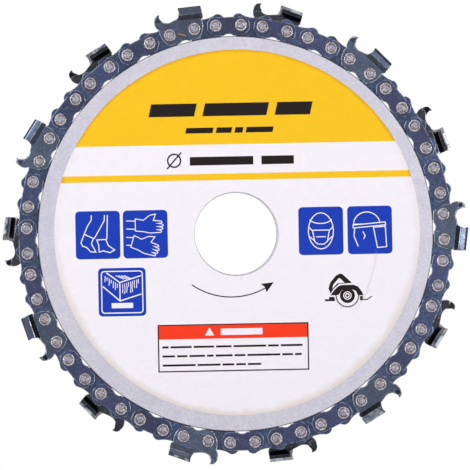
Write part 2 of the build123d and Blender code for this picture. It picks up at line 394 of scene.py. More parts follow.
def stamped_sheet(loops, place, inner_points=(), inner_face_shade=0.0):
    """A sheet with a rolled edge round each loop of (outline, rows, filed points).

    place(x, y, depth) sets a point of the flat outline in space, at depth 0 on the outer face
    and 1 on the inner one. Where the outline has been filed the edge stays sharp. Each inner
    point is (place in the outline, highlight, shade): the painted highlight and painted shade of
    the outer face. The inner face is darkened by painted shade.
    """
    sheet = Piece()
    caps = {0: ([], []), -1: ([], [])}
    for outline, rows, filed in loops:
        roundness = edge_roundness(outline, filed)
        rings = []
        for number, (distance, depth, bright) in enumerate(rows):
            flat = inset(outline, [distance * part for part in roundness])
            ring = []
            for spot, part in zip(flat, roundness):
                level = depth * part if depth < 0.5 else 1 - (1 - depth) * part
                # Painted shade on the inner face
                darkening = inner_face_shade if level > 0.5 else 0.0
                ring.append(sheet.point(place(spot.x, spot.y, level), bright, darkening))
            rings.append(ring)
            for side in caps:
                if number == side % len(rows):
                    caps[side][0].append(flat)
                    caps[side][1].extend(ring)
        for upper, lower in zip(rings, rings[1:]):
            for k in range(len(upper)):
                after = (k + 1) % len(upper)
                finish = FILED if k in filed and after in filed else STAMPED
                sheet.face((upper[k], lower[k], lower[after], upper[after]), finish)
    for side, (outlines, indices) in caps.items():
        depth = 0.0 if side == 0 else 1.0
        for spot, bright, darkening in inner_points:
            light_and_shade = (bright, darkening) if side == 0 else (0.0, inner_face_shade)
            indices.append(sheet.point(place(spot.x, spot.y, depth), *light_and_shade))
        for triangle in triangulate(outlines, [spot for spot, _, _ in inner_points]):
            corners = [indices[k] for k in triangle]
            sheet.face(corners if side == 0 else reversed(corners))
    return sheet


def flat_sheet(loops, outer, inner):
    """A flat stamped sheet between two levels."""
    return stamped_sheet(loops, lambda x, y, depth: (x, y, outer + (inner - outer) * depth))


def drift(spot):
    """A smooth shift in all three directions that is the same in every run."""
    return Vector([noise.noise(spot + Vector((0, 0, 31.7 * k))) for k in range(3)])


def turned(profile, segments, lump=0.0, seed=0):
    """A solid turned about z from (radius, height, highlight, darkening) rows, dented like hammered metal.
    """
    solid = Piece()
    rings = []
    blow = Vector((math.cos(seed * 2.4), math.sin(seed * 2.4), 0)) * lump * (1.0 + seed % 3)
    for radius, height, bright, darkening in profile:
        count = segments if radius else 1
        ring = []
        for k in range(count):
            angle = math.tau * k / segments
            spot = Vector((radius * math.cos(angle), radius * math.sin(angle), height))
            if lump:
                shift = drift(spot * 1.3 + Vector((seed * 7.3, 3.1, seed * 2.9)))
                shift += 0.6 * drift(spot * 3.1 + Vector((seed * 5.1, 8.7, seed * 1.7)))
                spot += shift * lump * (1.0 if bright or darkening or radius < head_radius else 0.0)
                spot += blow * max(0.0, 1 - radius / head_radius)
            ring.append(solid.point(spot, bright, darkening))
        rings.append(ring)
    for upper, lower in zip(rings, rings[1:]):
        for k in range(segments):
            after = (k + 1) % segments
            if len(upper) == 1:
                solid.face((upper[0], lower[k], lower[after]))
            elif len(lower) == 1:
                solid.face((upper[k], lower[0], upper[after]))
            else:
                solid.face((upper[k], lower[k], lower[after], upper[after]))
    return solid


def on_rim(angle, radius, back=False):
    """Where a link or rivet drawn flat sits on the rim, at degrees seen from the front."""
    c = math.cos(math.radians(angle))
    s = math.sin(math.radians(angle))
    placed = Matrix(((s, c, 0, radius * c), (0, 0, -1, 0), (-c, s, 0, radius * s), (0, 0, 0, 1)))
    if back:
        placed = placed @ Matrix.Diagonal((1, 1, -1, 1))
    return placed


def drawn_flat(back=False):
    """Where something drawn flat, seen from the front, sits in the disc."""
    placed = Matrix(((1, 0, 0, 0), (0, 0, -1, 0), (0, 1, 0, 0), (0, 0, 0, 1)))
    if back:
        placed = placed @ Matrix.Diagonal((1, 1, -1, 1))
    return placed


# Node helpers

def add(tree, kind, inputs=(), **settings):
    """Add a node. An input that is a socket is linked, and any other is set."""
    made = tree.nodes.new(kind)
    for key, value in settings.items():
        setattr(made, key, value)
    for key, value in dict(inputs).items():
        if isinstance(value, bpy.types.NodeSocket):
            tree.links.new(value, made.inputs[key])
        else:
            made.inputs[key].default_value = value
    return made


def maths(tree, operation, first, second=0.0):
    """One sum on numbers."""
    return add(tree, "ShaderNodeMath", {0: first, 1: second}, operation=operation).outputs[0]


def vectors(tree, operation, first, second=(0.0, 0.0, 0.0), output="Vector"):
    """One sum on places."""
    return add(tree, "ShaderNodeVectorMath", {0: first, 1: second}, operation=operation).outputs[output]


def scaled(tree, place, scale):
    """A place times a number."""
    inputs = {0: place, "Scale": scale}
    return add(tree, "ShaderNodeVectorMath", inputs, operation="SCALE").outputs[0]


def between(tree, value, low, high, start=0.0, end=1.0):
    """Stretch low to high out to start to end, softly and no further."""
    inputs = {0: value, 1: low, 2: high, 3: start, 4: end}
    return add(tree, "ShaderNodeMapRange", inputs, interpolation_type="SMOOTHSTEP").outputs[0]


def blend(tree, amount, first, second, way="MIX"):
    """Mix two colours."""
    made = add(tree, "ShaderNodeMix", {0: amount, 6: first, 7: second}, data_type="RGBA", blend_type=way)
    return made.outputs[2]


def clouds(tree, place, size, detail=3.0, roughness=0.55):
    """Soft noise whose features are about the given size in millimetres."""
    inputs = {"Vector": place, "Scale": 1 / (size * MM), "Detail": detail, "Roughness": roughness}
    return add(tree, "ShaderNodeTexNoise", inputs).outputs[0]


def grain(tree, place, size, detail=2.0):
    """Noise on a place in millimetres, with features of a size that is a socket."""
    inputs = {"Vector": place, "Scale": maths(tree, "DIVIDE", 1.0, size), "Detail": detail}
    return add(tree, "ShaderNodeTexNoise", inputs).outputs[0]


def painted(tree, name):
    """A value painted on the mesh."""
    return add(tree, "ShaderNodeAttribute", attribute_name=name).outputs["Fac"]


def shade(red, green, blue):
    """A colour given as it looks on a screen, out of 255."""
    levels = [c / 255 for c in (red, green, blue)]
    return tuple(c / 12.92 if c <= 0.04045 else ((c + 0.055) / 1.055) ** 2.4 for c in levels) + (1.0,)


def even_grey(tree, level):
    """A grey of the given level."""
    return add(tree, "ShaderNodeCombineColor", {0: level, 1: level, 2: level}).outputs[0]


def new_group(name, inputs, outputs):
    """A node group with named sockets."""
    group = bpy.data.node_groups.new(name, "ShaderNodeTree")
    for key, (kind, value) in inputs.items():
        socket = group.interface.new_socket(key, in_out="INPUT", socket_type=kind)
        if value is not None:
            socket.default_value = value
    for key, kind in outputs.items():
        group.interface.new_socket(key, in_out="OUTPUT", socket_type=kind)
    return group, group.nodes.new("NodeGroupInput").outputs, group.nodes.new("NodeGroupOutput").inputs


def use(tree, group, **inputs):
    """Place a node group and give it this material's own values."""
    made = tree.nodes.new("ShaderNodeGroup")
    made.node_tree = group
    for key, value in inputs.items():
        socket = made.inputs[key.replace("_", " ")]
        if isinstance(value, bpy.types.NodeSocket):
            tree.links.new(value, socket)
        else:
            socket.default_value = value
    return made.outputs


FLOAT = "NodeSocketFloat"
COLOUR = "NodeSocketColor"
PLACE = "NodeSocketVector"


def uneven_finish_group():
    """Patches of a second colour, and fine mottling, from an oil bath or a rolled surface."""
    sockets = {
        "Place": (PLACE, None),
        "Patch Size": (FLOAT, 3.0),
        "Mottle Size": (FLOAT, 0.5),
        "Tone": (FLOAT, 0.0),
    }
    group, given, result = new_group("uneven_finish", sockets, {"Patches": FLOAT, "Mottle": FLOAT})
    near = vectors(group, "MULTIPLY", given["Place"], (1 / MM,) * 3)
    shifted = vectors(group, "ADD", near, given["Tone"])
    for size, detail, low, high, key in (
        ("Patch Size", 4.0, 0.36, 0.66, "Patches"),
        ("Mottle Size", 3.0, 0.3, 0.7, "Mottle"),
    ):
        spread = grain(group, shifted, given[size], detail)
        group.links.new(between(group, spread, low, high), result[key])
    return group


def edge_wear_and_highlight_group():
    """Where a stamped edge has lost its finish, with a painted highlight: along the rolled edges, in broken
    runs.
    """
    sockets = {"Place": (PLACE, None), "Amount": (FLOAT, 0.7), "Run Size": (FLOAT, 1.2)}
    group, given, result = new_group("edge_wear_and_highlight", sockets, {"Mask": FLOAT})
    near = vectors(group, "MULTIPLY", given["Place"], (1 / MM,) * 3)
    runs = between(group, grain(group, near, given["Run Size"]), 0.3, 0.62)
    edge = maths(group, "MULTIPLY", painted(group, "bright"), given["Amount"])
    group.links.new(maths(group, "MULTIPLY", edge, runs), result["Mask"])
    return group


def fine_grain_group():
    """The small roughness of a rolled, blasted or printed surface, as a height."""
    sockets = {"Place": (PLACE, None), "Grain Size": (FLOAT, 0.12), "Dent Size": (FLOAT, 0.8)}
    group, given, result = new_group("fine_grain", sockets, {"Height": FLOAT})
    near = vectors(group, "MULTIPLY", given["Place"], (1 / MM,) * 3)
    dents = maths(group, "MULTIPLY", grain(group, near, given["Dent Size"]), 2.0)
    height = maths(group, "ADD", grain(group, near, given["Grain Size"]), dents)
    group.links.new(height, result["Height"])
    return group


def scratch_group():
    """Fine scratches in every direction."""
    sockets = {"Place": (PLACE, None), "Spacing": (FLOAT, 2.0), "Width": (FLOAT, 0.04)}
    group, given, result = new_group("scratches", sockets, {"Mask": FLOAT})
    near = vectors(group, "MULTIPLY", given["Place"], (1 / MM,) * 3)
    bend = add(group, "ShaderNodeTexNoise", {"Vector": near, "Scale": 0.3}).outputs[1]
    wandering = vectors(group, "ADD", near, scaled(group, bend, 3.0))
    inputs = {"Vector": wandering, "Scale": maths(group, "DIVIDE", 1.0, given["Spacing"])}
    crack = add(group, "ShaderNodeTexVoronoi", inputs, feature="DISTANCE_TO_EDGE").outputs[0]
    line = between(group, crack, 0.0, given["Width"], 1.0, 0.0)
    patchy = add(group, "ShaderNodeTexNoise", {"Vector": near, "Scale": 0.6}).outputs[0]
    group.links.new(maths(group, "MULTIPLY", line, between(group, patchy, 0.5, 0.7)), result["Mask"])
    return group


uneven_finish = uneven_finish_group()
edge_wear_and_highlight = edge_wear_and_highlight_group()
fine_grain = fine_grain_group()
scratches = scratch_group()


def new_material(name, **constants):
    """A material with a Principled shader, its constants set on the shader's own sockets."""
    material = bpy.data.materials.new(name)
    material.use_nodes = True
    tree = material.node_tree
    tree.nodes.clear()
    shader = add(tree, "ShaderNodeBsdfPrincipled", {k.replace("_", " "): v for k, v in constants.items()})
    end = add(tree, "ShaderNodeOutputMaterial")
    tree.links.new(shader.outputs[0], end.inputs["Surface"])
    place = add(tree, "ShaderNodeTexCoord").outputs["Object"]
    return material, tree, shader.inputs, place


def bumped(tree, height, distance):
    """The normal of a surface whose height reaches a distance in millimetres."""
    return add(tree, "ShaderNodeBump", {"Height": height, "Distance": distance * MM}).outputs["Normal"]


def blued_steel(name, dark, light, tint, edge, patch, gloss, mark=None):
    """Blued or oil-blacked spring steel: dark, mottled, bright along its edges from wear and a painted
    highlight, and darkened by painted shade.
    """
    material, tree, shader, place = new_material(name, Coat_Weight=0.7, Coat_Roughness=0.22)
    tone = painted(tree, "tone")
    finish = use(tree, uneven_finish, Place=place, Patch_Size=patch, Mottle_Size=0.45, Tone=tone)
    colour = blend(tree, finish["Mottle"], dark, light)
    colour = blend(tree, maths(tree, "MULTIPLY", finish["Patches"], 0.7), colour, tint)
    lift = between(tree, tone, -1.0, 1.0, 0.8, 1.2)
    colour = blend(tree, 1.0, colour, even_grey(tree, lift), "MULTIPLY")
    # Worn edges, partly a painted highlight along the rolled edges
    worn_and_highlit = use(tree, edge_wear_and_highlight, Place=place, Amount=0.95, Run_Size=1.6)["Mask"]
    scratch = use(tree, scratches, Place=place, Spacing=2.6, Width=0.03)["Mask"]
    # Bare steel from wear and scratches, with the painted edge highlight
    bare = maths(tree, "MAXIMUM", worn_and_highlit, maths(tree, "MULTIPLY", scratch, 0.35))
    # Painted shade: darker on the cutters' joggles and on the inner faces of their crowns
    colour = blend(tree, maths(tree, "MULTIPLY", painted(tree, "darkening"), 0.9), colour, shade(36, 36, 40))
    colour = blend(tree, bare, colour, edge)
    if mark:
        colour = blend(tree, rust_mark(tree, place, *mark), colour, shade(196, 150, 118))
    tree.links.new(colour, shader["Base Color"])
    tree.links.new(between(tree, worn_and_highlit, 0.55, 0.75, 1.0, 0.4), shader["Metallic"])
    rough = between(tree, finish["Mottle"], 0.0, 1.0, gloss + 0.05, gloss - 0.03)
    tree.links.new(rough, shader["Roughness"])
    height = use(tree, fine_grain, Place=place, Grain_Size=0.2, Dent_Size=1.2)["Height"]
    tree.links.new(bumped(tree, height, 0.003), shader["Normal"])
    return material


def rust_mark(tree, place, start, end, width):
    """A short rusty scratch from start to end, both (x, z) in millimetres."""
    start = Vector((start[0], 0, start[1])) * MM
    run = Vector((end[0], 0, end[1])) * MM - start
    offset = vectors(tree, "SUBTRACT", vectors(tree, "MULTIPLY", place, (1, 0, 1)), start)
    along = vectors(tree, "DOT_PRODUCT", offset, run, "Value")
    part = add(tree, "ShaderNodeMapRange", {0: along, 1: 0.0, 2: run.length_squared}).outputs[0]
    miss = vectors(tree, "DISTANCE", offset, scaled(tree, run, part), "Value")
    return between(tree, miss, 0.3 * width * MM, width * MM, 1.0, 0.0)


def ground_steel():
    """The faces that the file or the grinding wheel has left bare."""
    material, tree, shader, place = new_material("ground_steel", Metallic=1.0)
    strokes = add(tree, "ShaderNodeMapping", {"Vector": place, "Scale": (1.0, 6.0, 1.0)}).outputs[0]
    lines = clouds(tree, strokes, 0.25)
    finish = use(tree, uneven_finish, Place=place, Patch_Size=1.2, Mottle_Size=0.3)
    colour = blend(tree, lines, shade(150, 145, 150), shade(205, 200, 205))
    colour = blend(tree, maths(tree, "MULTIPLY", finish["Patches"], 0.4), colour, shade(140, 118, 105))
    tree.links.new(colour, shader["Base Color"])
    tree.links.new(between(tree, lines, 0.0, 1.0, 0.28, 0.45), shader["Roughness"])
    tree.links.new(bumped(tree, lines, 0.01), shader["Normal"])
    return material


def peened_steel(name, core, ring, grime_and_shade):
    """Rivet heads: hammered, with a painted highlight round the rim, darker in the groove and painted shade
    round the head's foot.
    """
    material, tree, shader, place = new_material(name, Metallic=0.9)
    finish = use(tree, uneven_finish, Place=place, Patch_Size=0.7, Mottle_Size=0.22)
    colour = blend(tree, finish["Mottle"], core, ring)
    colour = blend(tree, maths(tree, "MULTIPLY", finish["Patches"], 0.45), colour, grime_and_shade)
    # A painted highlight round the rim
    rim = use(tree, edge_wear_and_highlight, Place=place, Amount=1.0, Run_Size=0.55)["Mask"]
    colour = blend(tree, rim, colour, shade(222, 217, 222))
    gaps = between(tree, clouds(tree, place, 0.9, 2.0), 0.38, 0.6, 0.25, 1.0)
    # Darker in the groove, and painted shade round the head's foot
    dark = maths(tree, "MULTIPLY", painted(tree, "darkening"), gaps)
    tree.links.new(blend(tree, dark, colour, shade(52, 46, 52)), shader["Base Color"])
    tree.links.new(between(tree, finish["Mottle"], 0.0, 1.0, 0.5, 0.3), shader["Roughness"])
    height = use(tree, fine_grain, Place=place, Grain_Size=0.18, Dent_Size=0.5)["Height"]
    tree.links.new(bumped(tree, height, 0.05), shader["Normal"])
    return material


def plate_steel(name, low, high, stain):
    """Pale satin plate: a fine blasted grain, grey specks, a few stains, and painted shade round its edges.
    """
    material, tree, shader, place = new_material(name, Metallic=0.75)
    finish = use(tree, uneven_finish, Place=place, Patch_Size=5.0, Mottle_Size=0.35)
    colour = blend(tree, finish["Mottle"], low, high)
    colour = blend(tree, maths(tree, "MULTIPLY", finish["Patches"], 0.3), colour, stain)
    specks = between(tree, clouds(tree, place, 0.55, 2.0, 0.5), 0.7, 0.78)
    colour = blend(tree, maths(tree, "MULTIPLY", specks, 0.35), colour, shade(120, 118, 132))
    scratch = use(tree, scratches, Place=place, Spacing=7.0, Width=0.012)["Mask"]
    colour = blend(tree, maths(tree, "MULTIPLY", scratch, 0.35), colour, shade(170, 168, 180))
    # Painted shade: a dark line along the rolled rim and the bore's edge
    grime_and_shade = maths(tree, "MULTIPLY", painted(tree, "bright"), 0.85)
    tree.links.new(blend(tree, grime_and_shade, colour, shade(52, 50, 60)), shader["Base Color"])
    tree.links.new(between(tree, finish["Mottle"], 0.0, 1.0, 0.5, 0.38), shader["Roughness"])
    height = use(tree, fine_grain, Place=place, Grain_Size=0.22, Dent_Size=1.4)["Height"]
    tree.links.new(bumped(tree, height, 0.03), shader["Normal"])
    return material


def flat_offset(tree, place, origin):
    """A place seen from an (x, z) origin of the disc's face, in millimetres, with its depth left out."""
    moved_place = vectors(tree, "SUBTRACT", place, (origin[0] * MM, 0.0, origin[1] * MM))
    return vectors(tree, "MULTIPLY", moved_place, (1 / MM, 0.0, 1 / MM))


def from_label_centre(tree, place):
    """Distance from the middle of the label in millimetres, and the offset's X, Y and Z."""
    level = flat_offset(tree, place, label_centre)
    parts = add(tree, "ShaderNodeSeparateXYZ", {0: level}).outputs
    return vectors(tree, "LENGTH", level, output="Value"), parts


# A fold in the film, an arc of this circle of the disc's face
crease_centre = (12.0, -5.0)
crease_radius = 27.0


def printed_film_group():
    """Slight unevenness of ink on a film, and glue and dirt that darken its outer edge."""
    sockets = {
        "Place": (PLACE, None),
        "Film": (COLOUR, (1.0, 1.0, 1.0, 1.0)),
        "Edge Colour": (COLOUR, (0.6, 0.5, 0.4, 1.0)),
        "Edge Amount": (FLOAT, 0.5),
        "Edge Width": (FLOAT, 1.0),
        "Edge Top": (FLOAT, 0.25),
    }
    group, given, result = new_group("printed_film", sockets, {"Color": COLOUR, "Crease": FLOAT})
    place = given["Place"]
    length, parts = from_label_centre(group, place)
    mottle = between(group, clouds(group, place, 1.6), 0.3, 0.7, 0.985, 1.01)
    colour = blend(group, 1.0, given["Film"], even_grey(group, mottle), "MULTIPLY")
    inward = maths(group, "SUBTRACT", label_radius, length)
    wander = maths(group, "MULTIPLY", clouds(group, place, 4.0), 2.4)
    reach = maths(group, "MULTIPLY", given["Edge Width"], wander)
    near = maths(group, "SUBTRACT", 1.0, maths(group, "DIVIDE", inward, reach))
    halo = between(group, near, 0.0, 1.0)
    low_down = between(group, parts["Z"], -30.0, 12.0, 1.0, given["Edge Top"])
    halo = maths(group, "MULTIPLY", halo, low_down)
    amount = maths(group, "MULTIPLY", halo, given["Edge Amount"])
    colour = blend(group, amount, colour, given["Edge Colour"])
    specks = between(group, clouds(group, place, 1.4, 1.0, 0.3), 0.82, 0.85)
    colour = blend(group, maths(group, "MULTIPLY", specks, 0.35), colour, shade(150, 140, 140))
    wobble = maths(group, "MULTIPLY", clouds(group, place, 9.0), 2.0)
    ring = vectors(group, "LENGTH", flat_offset(group, place, crease_centre), output="Value")
    miss = maths(group, "SUBTRACT", maths(group, "ADD", ring, wobble), crease_radius)
    fold = maths(group, "ABSOLUTE", miss)
    line = between(group, fold, 0.0, 0.5, 1.0, 0.0)
    side = between(group, parts["X"], 30.0, 36.0)
    below = between(group, parts["Z"], -7.0, -4.0, 1.0, 0.0)
    crease = maths(group, "MULTIPLY", maths(group, "MULTIPLY", line, side), below)
    group.links.new(crease, result["Crease"])
    shadow = maths(group, "MULTIPLY", crease, 0.3)
    group.links.new(blend(group, shadow, colour, shade(190, 184, 200)), result["Color"])
    return group


printed_film = printed_film_group()


def film(name, colour, edge, edge_amount, edge_width, gloss, edge_top=0.25):
    """One colour of the label: ink, or the bare white of its film."""
    material, tree, shader, place = new_material(name, Metallic=0.0, Specular_IOR_Level=0.12)
    skin = use(
        tree, printed_film, Place=place, Film=colour, Edge_Colour=edge,
        Edge_Amount=edge_amount, Edge_Width=edge_width, Edge_Top=edge_top,
    )
    tree.links.new(skin["Color"], shader["Base Color"])
    rough = between(tree, clouds(tree, place, 2.2), 0.3, 0.7, gloss - 0.05, gloss + 0.08)
    tree.links.new(rough, shader["Roughness"])
    height = use(tree, fine_grain, Place=place, Grain_Size=0.3, Dent_Size=3.0)["Height"]
    height = maths(tree, "ADD", height, maths(tree, "MULTIPLY", skin["Crease"], 1.6))
    tree.links.new(bumped(tree, height, 0.012), shader["Normal"])
    return material


blued_drive = blued_steel(
    "blued_drive_links", shade(42, 58, 92), shade(78, 98, 130), shade(54, 64, 96),
    shade(170, 180, 198), 3.0, 0.34,
)
blued_strap = blued_steel(
    "blued_straps", shade(42, 52, 88), shade(72, 84, 118), shade(58, 56, 88),
    shade(170, 180, 200), 3.5, 0.34,
)
rust_scratch = ((-15.6, 54.2), (-13.4, 53.7), 0.16)  # start, end and width
blued_cutter = blued_steel(
    "blued_cutters", shade(72, 86, 108), shade(92, 106, 130), shade(68, 76, 98),
    shade(206, 212, 222), 2.2, 0.27, rust_scratch,
)
filed_steel = ground_steel()
rivet_steel = peened_steel("chain_rivet_steel", shade(72, 68, 78), shade(190, 186, 198), shade(98, 88, 94))
plate_rivet_steel = peened_steel(
    "plate_rivet_steel", shade(176, 176, 184), shade(206, 206, 214), shade(150, 148, 156)
)
satin_plate = plate_steel("plate_steel", shade(196, 193, 206), shade(214, 211, 224), shade(186, 183, 198))
spacer_steel = plate_steel("spacer_steel", shade(150, 150, 158), shade(186, 186, 194), shade(120, 118, 124))
beige = shade(224, 210, 198)
amber = shade(226, 160, 20)
paper = film("label_white_film", shade(250, 245, 253), beige, 0.7, 1.9, 0.38)
yellow_ink = film("label_yellow_ink", shade(254, 201, 30), amber, 0.8, 0.8, 0.36, 1.0)
blue_ink = film("label_blue_ink", shade(24, 62, 186), shade(20, 40, 120), 0.0, 1.0, 0.34)
red_ink = film("label_red_ink", shade(255, 62, 30), shade(200, 40, 20), 0.0, 1.0, 0.34)
black_ink = film("label_black_ink", shade(34, 26, 26), shade(30, 22, 22), 0.0, 1.0, 0.36)


# Chain

def tie_strap():
    """A flat side link with cut corners and a hollow foot."""
    half = side_spacing / 2
    foot = half + strap_foot_reach
    end = half + strap_reach
    top = half + strap_top_reach
    right = [(foot, -side_depth), (end, -strap_end_low), (end, strap_end_high), (top, strap_rise)]
    left = [(-x, y) for x, y in reversed(right)]
    start = Vector((-waist_width / 2, -side_depth))
    hollow = arc_through(start, (0, waist_height - side_depth), (waist_width / 2, -side_depth), 8)
    outline = [start] + hollow + rounded([(x, y, strap_corner_radius) for x, y in right + left])
    holes = [(circle((x, 0), side_hole_radius, 20, True), plain_hole(), ()) for x in (-half, half)]
    edge = stamped_edge(0.16, 0.05, side_outer - side_inner)
    return flat_sheet([(outline, edge, ())] + holes, side_outer, side_inner)


def drive_link():
    """A link with two humps over its rivets, and a tang that runs in the groove."""
    end = drive_spacing / 2 + drive_reach
    end_top = hump_rise - hump_drop
    hump = drive_spacing / 2 + hump_reach
    shoulder = (hump + hump_shoulder, hump_rise - hump_shoulder_drop)
    root = drive_spacing / 2 + tang_root_reach
    middle = -tang_depth / 2
    back = (tang_tip_width / 2 - tang_lean, tang_tip_round - tang_depth)
    front = (-tang_tip_width / 2 - tang_lean, tang_tip_round - tang_depth)
    hollow = ((front[0] - root) / 2 + tang_hollow, (front[1] + middle) / 2)
    outline = [Vector((-hump, hump_rise))]
    for via, to in (
        ((-shoulder[0], shoulder[1]), (-end, end_top)),
        ((-end, end_top + middle / 2), (-root, middle)),
        (hollow, front),
        ((-tang_lean, -tang_depth), back),
    ):
        outline += arc_through(outline[-1], via, to)
    outline.append(Vector((root, middle)))
    for via, to in (
        ((end, end_top + middle / 2), (end, end_top)),
        (shoulder, (hump, hump_rise)),
        ((0, drive_waist), (-hump, hump_rise)),
    ):
        outline += arc_through(outline[-1], via, to)
    outline.pop()
    half = drive_spacing / 2
    holes = [(circle((x, 0), drive_hole_radius, 20, True), plain_hole(), ()) for x in (-half, half)]
    edge = stamped_edge(0.12, 0.06, 2 * drive_half)
    return flat_sheet([(outline, edge, ())] + holes, drive_half, -drive_half)


class CutterSheet:
    """The bent sheet of a cutter, unrolled: x along the chain, and s up the sheet and over the crown."""

    def __init__(self):
        lift = fall * (cutting_corner - gullet_x)
        foot = joggle_foot + lift
        head = joggle_head + lift
        top = crown_height + lift
        low = -2 * side_depth
        bend = math.atan2(joggle_step, head - foot)
        shift = (side_outer - side_inner) * math.tan(bend / 2)
        crown_inner = side_inner + joggle_step
        self.outer = rounded([
            (low, side_outer, 0), (foot, side_outer, 0.2), (head, crown_outer, 0.5),
            (top, crown_outer - crown_lean, crown_bend), (top, -crown_overlap, 0),
        ])
        self.inner = rounded([
            (low, side_inner, 0), (foot + shift, side_inner, 0.9), (head + shift, crown_inner, 0.2),
            (top - crown_thickness, crown_inner - crown_lean, 0.12),
            (top - crown_thickness, -crown_overlap, 0),
        ])
        self.runs = [0.0]
        for here, there in zip(self.outer, self.outer[1:]):
            self.runs.append(self.runs[-1] + (there - here).length)
        self.bend_start = 13
        self.end = self.runs[-1]

    def bend_light_and_shade(self, plate_highlight, ridge_highlight):
        """Rows of (s, highlight, shade) along the bends: painted shade on the joggle, and painted highlights
        on the joggle's head bend, the plate's ends and the crown's ridge.
        """
        joggle_shade = {2: 0.3, 3: 0.6, 4: 0.6, 5: 0.6, 6: 0.6, 7: 0.5, 8: 0.2}
        brights = {9: 0.7, 10: 0.5, 12: plate_highlight, 13: plate_highlight}
        brights.update({k: ridge_highlight for k in (14, 15, 16)})
        return [(s, brights.get(k, 0.0), joggle_shade.get(k, 0.0)) for k, s in enumerate(self.runs[1:-1], start=1)]

    def unrolled(self, spot):
        """The s of a point of the outer face that is below the crown's bend."""
        height = spot[1] + fall * (spot[0] - gullet_x)
        for k in range(self.bend_start):
            low = self.outer[k].x
            high = self.outer[k + 1].x
            if height <= high or k == self.bend_start - 1:
                part = (height - low) / (high - low)
                return Vector((spot[0], self.runs[k] + part * (self.runs[k + 1] - self.runs[k])))

    def section(self, s, depth):
        """Height and z across the sheet at s, as at the gullet."""
        k = min(max(bisect.bisect_right(self.runs, s) - 1, 0), len(self.runs) - 2)
        part = (s - self.runs[k]) / (self.runs[k + 1] - self.runs[k])
        outer = self.outer[k].lerp(self.outer[k + 1], part)
        inner = self.inner[k].lerp(self.inner[k + 1], part)
        return outer.lerp(inner, depth)

    def file_line(self, y, z):
        """x where the round file has cut, behind its middle."""
        chord = math.sqrt(max(0.0, file_radius**2 - (y - file_height) ** 2))
        return file_x + (crown_outer - z) * math.tan(file_slant) + chord / math.cos(file_slant)

    def filed_point(self, s):
        """The filed front of the tooth at s on the outer face."""
        height, z = self.section(s, 0)
        x = cutting_corner
        for _ in range(6):
            x = self.file_line(height - fall * (x - gullet_x), z)
        return Vector((x, s))

    def place(self, x, s, depth):
        """Fold a point of the unrolled sheet, leaning back where the file has undercut it."""
        height, z = self.section(s, depth)
        outer_height, outer_z = self.section(s, 0)
        y = height - fall * (x - gullet_x)
        outer_line = self.file_line(outer_height - fall * (x - gullet_x), outer_z)
        near = max(0.0, 1 - abs(x - outer_line) / 2.2)
        near = near * near * (3 - 2 * near)
        over = min(1.0, max(0.0, (y - gullet_floor - 0.1) / 0.5))
        return (x + (self.file_line(y, z) - outer_line) * near * over, y, z)


def foot_edge():
    """The edge of a cutter from its hollow foot round the rear cheek and up the heel."""
    start = Vector((-waist_width / 2, -side_depth))
    edge = [start]
    edge += arc_through(start, (0, waist_height - side_depth), (waist_width / 2, -side_depth))
    edge.append(Vector((body_foot, -side_depth)))
    edge += arc_through(edge[-1], cheek, (body_end, cutter_neck), 12)
    edge.append(Vector((body_end + heel_step, cutter_neck + heel_step)))
    edge.append(Vector((body_end + heel_reach, joggle_head)))
    edge.append(Vector((heel_x, crown_height - fall * (body_end + 1) - crown_bend)))
    return edge


def crown_edge(sheet):
    """The rear end of the crown over its bend, and its far edge up to the cutting corner."""
    bent = sheet.runs[sheet.bend_start:-1]
    plate_start = sheet.runs[-2]
    edge = [Vector((heel_x, s)) for s in bent]
    edge += [Vector((heel_x, plate_start + (sheet.end - plate_start) * k / 4)) for k in range(1, 5)]
    corner = sheet.filed_point(sheet.end)
    return edge + [Vector((heel_x, sheet.end)).lerp(corner, k / 12) for k in range(1, 12)]


def filed_edge(sheet, lip):
    """The filed front of the tooth, from its far corner over the bend to the gullet's lip."""
    bent = sheet.runs[sheet.bend_start:-1]
    lip_s = sheet.unrolled(lip).y
    edge = [sheet.filed_point(sheet.end + (bent[-1] - sheet.end) * k / 5) for k in range(5)]
    edge += [sheet.filed_point(s) for s in reversed(bent)]
    return edge + [sheet.filed_point(bent[0] + (lip_s - bent[0]) * k / 14) for k in range(1, 14)]


def raker_edge(lip):
    """The edge from the gullet's lip round the raker, and down the front cheek to the foot."""
    root = Vector((raker_root_x, gullet_floor + gullet_lip))
    waist = (raker_waist_width - body_end, (gullet_floor + raker_height) / 2)
    tip = Vector((raker_tip_width - body_end, raker_height))
    tip_middle = (raker_tip_width / 2 - body_end, raker_height - raker_tip_drop)
    belly = (-body_end - raker_belly, (cutter_neck + raker_nose.y) / 2)
    edge = [lip]
    edge += arc_through(lip, ((lip.x + root.x) / 2, gullet_floor), root)
    edge += arc_through(root, waist, tip)
    edge += arc_through(tip, tip_middle, raker_nose, 6)
    edge += arc_through(raker_nose, belly, (-body_end, cutter_neck), 10)
    return edge + arc_through(edge[-1], (-cheek.x, cheek.y), (-body_foot, -side_depth), 12)


def points_on_bends(sheet, outline, plate_highlight, ridge_highlight):
    """Points inside the outline along every bend, which hold the bends' painted highlights and painted
    shade.
    """
    points = []
    for k in range(24):
        for s, bright, darkening in sheet.bend_light_and_shade(plate_highlight, ridge_highlight):
            spot = Vector((-body_end - 0.5 + 0.6 * k, s))
            if winding(spot, outline) > 0 and min((spot - p).length for p in outline) > 0.42:
                points.append((spot, bright, darkening))
    return points


